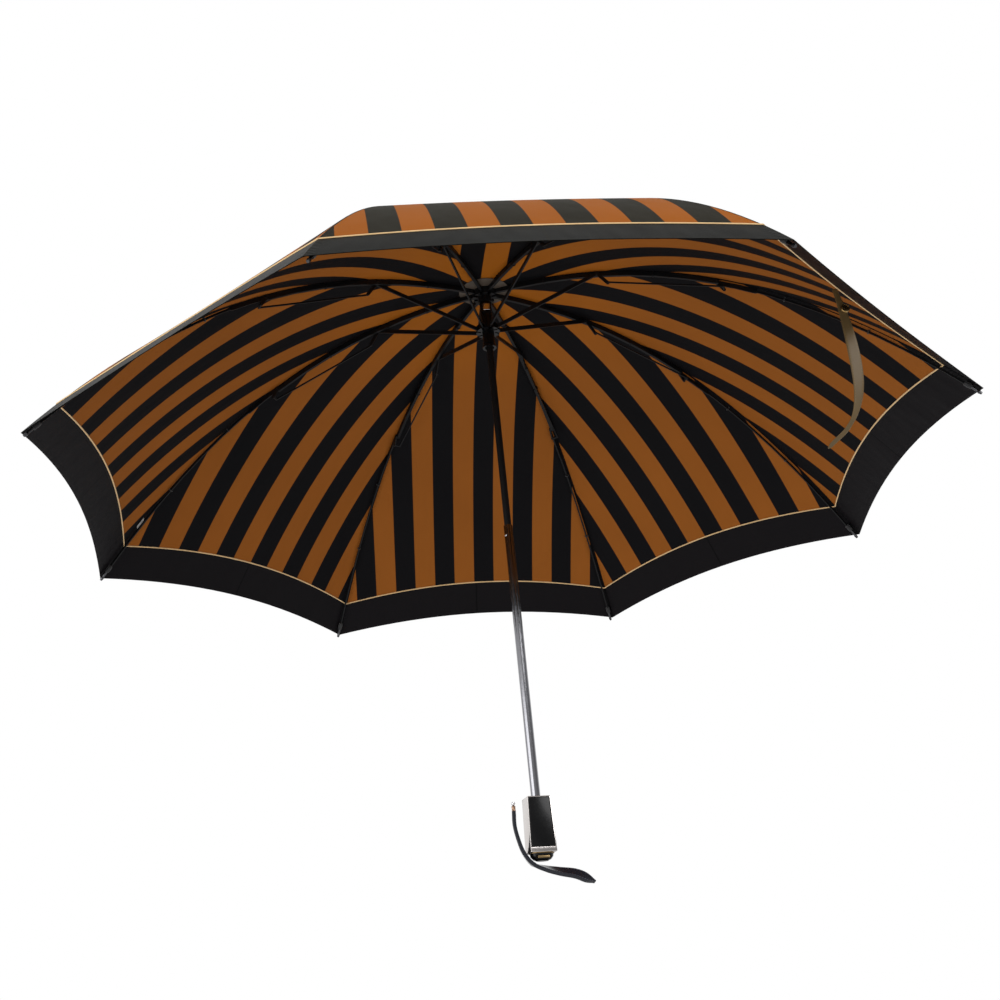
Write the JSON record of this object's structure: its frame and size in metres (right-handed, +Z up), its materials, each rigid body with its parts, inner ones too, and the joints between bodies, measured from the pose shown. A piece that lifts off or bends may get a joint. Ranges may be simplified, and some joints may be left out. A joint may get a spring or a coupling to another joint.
{
  "type": "folding umbrella",
  "caption": "Open folding umbrella with a striped fabric canopy on jointed ribs, a telescoping shaft with a sprung catch, a short tapered handle and a wrist strap.",
  "frame": {"origin": "on the shaft axis, at the flat foot of the handle's base cap", "axes": "+Z up the shaft from the handle to the canopy's peak; -Y is roughly the handle's front face; the ribs stand at 22.5 degrees and every 45 degrees from there"},
  "size_m": [0.9626, 0.9626, 0.7206],
  "materials": {
    "black_steel": "satin black",
    "chrome": "polished",
    "black_plastic": "gloss",
    "brass": "polished",
    "leather": "smooth, glossy",
    "satin_ribbon": "satin ribbon",
    "canopy_cloth": "woven, striped rust orange and black",
    "disc_cloth": "woven"
  },
  "bodies": {
    "handle": {"lower_tube": "chrome", "handle_frame": "chrome", "handle_core": "black_plastic", "front_panel": "black_plastic", "back_panel": "black_plastic", "base_cap": "black_plastic", "strap_anchor": "brass", "wrist_strap": "leather", "strap_ferrule": "brass"},
    "upper_shaft": {"upper_tube": "black_steel", "crown_hub": "black_plastic", "crown_disc": "disc_cloth", "top_cap": "black_plastic", "canopy": "canopy_cloth"},
    "runner": {"runner": "black_plastic"},
    "runner_catch": {"runner_button": "chrome"},
    "tube_catch": {"tube_catch": "chrome"},
    "main_rib_1": {"main_rib_1": "black_steel"},
    "stretcher_1": {"stretcher_1": "black_steel"},
    "outer_rib_1": {"outer_rib_1": "black_steel", "rib_tip_1": "chrome"},
    "control_link_1": {"control_link_1": "black_steel"},
    "main_rib_2": {"main_rib_2": "black_steel"},
    "stretcher_2": {"stretcher_2": "black_steel"},
    "outer_rib_2": {"outer_rib_2": "black_steel", "rib_tip_2": "chrome"},
    "control_link_2": {"control_link_2": "black_steel"},
    "main_rib_3": {"main_rib_3": "black_steel"},
    "stretcher_3": {"stretcher_3": "black_steel"},
    "outer_rib_3": {"outer_rib_3": "black_steel", "rib_tip_3": "chrome"},
    "control_link_3": {"control_link_3": "black_steel"},
    "main_rib_4": {"main_rib_4": "black_steel"},
    "stretcher_4": {"stretcher_4": "black_steel"},
    "outer_rib_4": {"outer_rib_4": "black_steel", "rib_tip_4": "chrome"},
    "control_link_4": {"control_link_4": "black_steel"},
    "main_rib_5": {"main_rib_5": "black_steel"},
    "stretcher_5": {"stretcher_5": "black_steel"},
    "outer_rib_5": {"outer_rib_5": "black_steel", "rib_tip_5": "chrome"},
    "control_link_5": {"control_link_5": "black_steel"},
    "main_rib_6": {"main_rib_6": "black_steel"},
    "stretcher_6": {"stretcher_6": "black_steel"},
    "outer_rib_6": {"outer_rib_6": "black_steel", "rib_tip_6": "chrome"},
    "control_link_6": {"control_link_6": "black_steel"},
    "main_rib_7": {"main_rib_7": "black_steel"},
    "stretcher_7": {"stretcher_7": "black_steel"},
    "outer_rib_7": {"outer_rib_7": "black_steel", "rib_tip_7": "chrome"},
    "control_link_7": {"control_link_7": "black_steel"},
    "main_rib_8": {"main_rib_8": "black_steel"},
    "stretcher_8": {"stretcher_8": "black_steel"},
    "outer_rib_8": {"outer_rib_8": "black_steel", "rib_tip_8": "chrome"},
    "control_link_8": {"control_link_8": "black_steel"},
    "tie_strap": {"tie_strap": "satin_ribbon", "tie_snap": "brass"}
  },
  "joints": [
    {"name": "shaft_slide", "type": "slide", "parent": "handle", "child": "upper_shaft", "axis": [0, 0, -1], "range_m": [0, 0.285]},
    {"name": "runner_slide", "type": "slide", "parent": "upper_shaft", "child": "runner", "axis": [0, 0, -1], "range_m": [0, 0.20551], "deforming": ["canopy", "tie_strap", "tie_snap"]},
    {"name": "runner_catch_press", "type": "slide", "parent": "runner", "child": "runner_catch", "axis": [0, 1, 0], "range_m": [0, 0.0013], "stiffness_N_per_m": 400},
    {"name": "tube_catch_press", "type": "slide", "parent": "handle", "child": "tube_catch", "axis": [0.766, 0.6428, 0], "range_m": [0, 0.0008], "stiffness_N_per_m": 400},
    {"name": "main_rib_1_fold", "type": "hinge", "parent": "upper_shaft", "child": "main_rib_1", "pos_m": [0.01059, 0.00439, 0.66776], "axis": [-0.3827, 0.9239, 0], "range_deg": [0, 72.01]},
    {"name": "stretcher_1_fold", "type": "hinge", "parent": "runner", "child": "stretcher_1", "pos_m": [0.01059, 0.00439, 0.61776], "axis": [-0.3827, 0.9239, 0], "range_deg": [-61.91, 0]},
    {"name": "outer_rib_1_fold", "type": "hinge", "parent": "main_rib_1", "child": "outer_rib_1", "pos_m": [0.25285, 0.10474, 0.60696], "axis": [-0.3827, 0.9239, 0], "range_deg": [-193.01, 0]},
    {"name": "control_link_1_fold", "type": "hinge", "parent": "outer_rib_1", "child": "control_link_1", "pos_m": [0.25846, 0.10706, 0.59661], "axis": [-0.3827, 0.9239, 0], "range_deg": [0, 200.45]},
    {"name": "main_rib_2_fold", "type": "hinge", "parent": "upper_shaft", "child": "main_rib_2", "pos_m": [0.00439, 0.01059, 0.66776], "axis": [-0.9239, 0.3827, 0], "range_deg": [0, 72.01]},
    {"name": "stretcher_2_fold", "type": "hinge", "parent": "runner", "child": "stretcher_2", "pos_m": [0.00439, 0.01059, 0.61776], "axis": [-0.9239, 0.3827, 0], "range_deg": [-61.91, 0]},
    {"name": "outer_rib_2_fold", "type": "hinge", "parent": "main_rib_2", "child": "outer_rib_2", "pos_m": [0.10474, 0.25285, 0.60696], "axis": [-0.9239, 0.3827, 0], "range_deg": [-193.01, 0]},
    {"name": "control_link_2_fold", "type": "hinge", "parent": "outer_rib_2", "child": "control_link_2", "pos_m": [0.10706, 0.25846, 0.59661], "axis": [-0.9239, 0.3827, 0], "range_deg": [0, 200.45]},
    {"name": "main_rib_3_fold", "type": "hinge", "parent": "upper_shaft", "child": "main_rib_3", "pos_m": [-0.00439, 0.01059, 0.66776], "axis": [-0.9239, -0.3827, 0], "range_deg": [0, 72.01]},
    {"name": "stretcher_3_fold", "type": "hinge", "parent": "runner", "child": "stretcher_3", "pos_m": [-0.00439, 0.01059, 0.61776], "axis": [-0.9239, -0.3827, 0], "range_deg": [-61.91, 0]},
    {"name": "outer_rib_3_fold", "type": "hinge", "parent": "main_rib_3", "child": "outer_rib_3", "pos_m": [-0.10474, 0.25285, 0.60696], "axis": [-0.9239, -0.3827, 0], "range_deg": [-193.01, 0]},
    {"name": "control_link_3_fold", "type": "hinge", "parent": "outer_rib_3", "child": "control_link_3", "pos_m": [-0.10706, 0.25846, 0.59661], "axis": [-0.9239, -0.3827, 0], "range_deg": [0, 200.45]},
    {"name": "main_rib_4_fold", "type": "hinge", "parent": "upper_shaft", "child": "main_rib_4", "pos_m": [-0.01059, 0.00439, 0.66776], "axis": [-0.3827, -0.9239, 0], "range_deg": [0, 72.01]},
    {"name": "stretcher_4_fold", "type": "hinge", "parent": "runner", "child": "stretcher_4", "pos_m": [-0.01059, 0.00439, 0.61776], "axis": [-0.3827, -0.9239, 0], "range_deg": [-61.91, 0]},
    {"name": "outer_rib_4_fold", "type": "hinge", "parent": "main_rib_4", "child": "outer_rib_4", "pos_m": [-0.25285, 0.10474, 0.60696], "axis": [-0.3827, -0.9239, 0], "range_deg": [-193.01, 0]},
    {"name": "control_link_4_fold", "type": "hinge", "parent": "outer_rib_4", "child": "control_link_4", "pos_m": [-0.25846, 0.10706, 0.59661], "axis": [-0.3827, -0.9239, 0], "range_deg": [0, 200.45]},
    {"name": "main_rib_5_fold", "type": "hinge", "parent": "upper_shaft", "child": "main_rib_5", "pos_m": [-0.01059, -0.00439, 0.66776], "axis": [0.3827, -0.9239, 0], "range_deg": [0, 72.01]},
    {"name": "stretcher_5_fold", "type": "hinge", "parent": "runner", "child": "stretcher_5", "pos_m": [-0.01059, -0.00439, 0.61776], "axis": [0.3827, -0.9239, 0], "range_deg": [-61.91, 0]},
    {"name": "outer_rib_5_fold", "type": "hinge", "parent": "main_rib_5", "child": "outer_rib_5", "pos_m": [-0.25285, -0.10474, 0.60696], "axis": [0.3827, -0.9239, 0], "range_deg": [-193.01, 0]},
    {"name": "control_link_5_fold", "type": "hinge", "parent": "outer_rib_5", "child": "control_link_5", "pos_m": [-0.25846, -0.10706, 0.59661], "axis": [0.3827, -0.9239, 0], "range_deg": [0, 200.45]},
    {"name": "main_rib_6_fold", "type": "hinge", "parent": "upper_shaft", "child": "main_rib_6", "pos_m": [-0.00439, -0.01059, 0.66776], "axis": [0.9239, -0.3827, 0], "range_deg": [0, 72.01]},
    {"name": "stretcher_6_fold", "type": "hinge", "parent": "runner", "child": "stretcher_6", "pos_m": [-0.00439, -0.01059, 0.61776], "axis": [0.9239, -0.3827, 0], "range_deg": [-61.91, 0]},
    {"name": "outer_rib_6_fold", "type": "hinge", "parent": "main_rib_6", "child": "outer_rib_6", "pos_m": [-0.10474, -0.25285, 0.60696], "axis": [0.9239, -0.3827, 0], "range_deg": [-193.01, 0]},
    {"name": "control_link_6_fold", "type": "hinge", "parent": "outer_rib_6", "child": "control_link_6", "pos_m": [-0.10706, -0.25846, 0.59661], "axis": [0.9239, -0.3827, 0], "range_deg": [0, 200.45]},
    {"name": "main_rib_7_fold", "type": "hinge", "parent": "upper_shaft", "child": "main_rib_7", "pos_m": [0.00439, -0.01059, 0.66776], "axis": [0.9239, 0.3827, 0], "range_deg": [0, 72.01]},
    {"name": "stretcher_7_fold", "type": "hinge", "parent": "runner", "child": "stretcher_7", "pos_m": [0.00439, -0.01059, 0.61776], "axis": [0.9239, 0.3827, 0], "range_deg": [-61.91, 0]},
    {"name": "outer_rib_7_fold", "type": "hinge", "parent": "main_rib_7", "child": "outer_rib_7", "pos_m": [0.10474, -0.25285, 0.60696], "axis": [0.9239, 0.3827, 0], "range_deg": [-193.01, 0]},
    {"name": "control_link_7_fold", "type": "hinge", "parent": "outer_rib_7", "child": "control_link_7", "pos_m": [0.10706, -0.25846, 0.59661], "axis": [0.9239, 0.3827, 0], "range_deg": [0, 200.45]},
    {"name": "main_rib_8_fold", "type": "hinge", "parent": "upper_shaft", "child": "main_rib_8", "pos_m": [0.01059, -0.00439, 0.66776], "axis": [0.3827, 0.9239, 0], "range_deg": [0, 72.01]},
    {"name": "stretcher_8_fold", "type": "hinge", "parent": "runner", "child": "stretcher_8", "pos_m": [0.01059, -0.00439, 0.61776], "axis": [0.3827, 0.9239, 0], "range_deg": [-61.91, 0]},
    {"name": "outer_rib_8_fold", "type": "hinge", "parent": "main_rib_8", "child": "outer_rib_8", "pos_m": [0.25285, -0.10474, 0.60696], "axis": [0.3827, 0.9239, 0], "range_deg": [-193.01, 0]},
    {"name": "control_link_8_fold", "type": "hinge", "parent": "outer_rib_8", "child": "control_link_8", "pos_m": [0.25846, -0.10706, 0.59661], "axis": [0.3827, 0.9239, 0], "range_deg": [0, 200.45]},
    {"name": "tie_strap_hang", "type": "hinge", "parent": "outer_rib_7", "child": "tie_strap", "pos_m": [0.29832, -0.31094, 0.4614], "axis": [0.9239, 0.3827, 0], "range_deg": [0, 121.01]}
  ],
  "couplings": [
    {"joint": "main_rib_1_fold", "follows": "runner_slide", "rad_per_m": 6.1147},
    {"joint": "stretcher_1_fold", "follows": "runner_slide", "rad_per_m": -5.2568},
    {"joint": "outer_rib_1_fold", "follows": "runner_slide", "rad_per_m": -16.391},
    {"joint": "control_link_1_fold", "follows": "runner_slide", "rad_per_m": 17.023},
    {"joint": "main_rib_2_fold", "follows": "runner_slide", "rad_per_m": 6.1147},
    {"joint": "stretcher_2_fold", "follows": "runner_slide", "rad_per_m": -5.2568},
    {"joint": "outer_rib_2_fold", "follows": "runner_slide", "rad_per_m": -16.391},
    {"joint": "control_link_2_fold", "follows": "runner_slide", "rad_per_m": 17.023},
    {"joint": "main_rib_3_fold", "follows": "runner_slide", "rad_per_m": 6.1147},
    {"joint": "stretcher_3_fold", "follows": "runner_slide", "rad_per_m": -5.2568},
    {"joint": "outer_rib_3_fold", "follows": "runner_slide", "rad_per_m": -16.391},
    {"joint": "control_link_3_fold", "follows": "runner_slide", "rad_per_m": 17.023},
    {"joint": "main_rib_4_fold", "follows": "runner_slide", "rad_per_m": 6.1147},
    {"joint": "stretcher_4_fold", "follows": "runner_slide", "rad_per_m": -5.2568},
    {"joint": "outer_rib_4_fold", "follows": "runner_slide", "rad_per_m": -16.391},
    {"joint": "control_link_4_fold", "follows": "runner_slide", "rad_per_m": 17.023},
    {"joint": "main_rib_5_fold", "follows": "runner_slide", "rad_per_m": 6.1147},
    {"joint": "stretcher_5_fold", "follows": "runner_slide", "rad_per_m": -5.2568},
    {"joint": "outer_rib_5_fold", "follows": "runner_slide", "rad_per_m": -16.391},
    {"joint": "control_link_5_fold", "follows": "runner_slide", "rad_per_m": 17.023},
    {"joint": "main_rib_6_fold", "follows": "runner_slide", "rad_per_m": 6.1147},
    {"joint": "stretcher_6_fold", "follows": "runner_slide", "rad_per_m": -5.2568},
    {"joint": "outer_rib_6_fold", "follows": "runner_slide", "rad_per_m": -16.391},
    {"joint": "control_link_6_fold", "follows": "runner_slide", "rad_per_m": 17.023},
    {"joint": "main_rib_7_fold", "follows": "runner_slide", "rad_per_m": 6.1147},
    {"joint": "stretcher_7_fold", "follows": "runner_slide", "rad_per_m": -5.2568},
    {"joint": "outer_rib_7_fold", "follows": "runner_slide", "rad_per_m": -16.391},
    {"joint": "control_link_7_fold", "follows": "runner_slide", "rad_per_m": 17.023},
    {"joint": "main_rib_8_fold", "follows": "runner_slide", "rad_per_m": 6.1147},
    {"joint": "stretcher_8_fold", "follows": "runner_slide", "rad_per_m": -5.2568},
    {"joint": "outer_rib_8_fold", "follows": "runner_slide", "rad_per_m": -16.391},
    {"joint": "control_link_8_fold", "follows": "runner_slide", "rad_per_m": 17.023},
    {"joint": "tie_strap_hang", "follows": "runner_slide", "rad_per_m": 10.276}
  ]
}
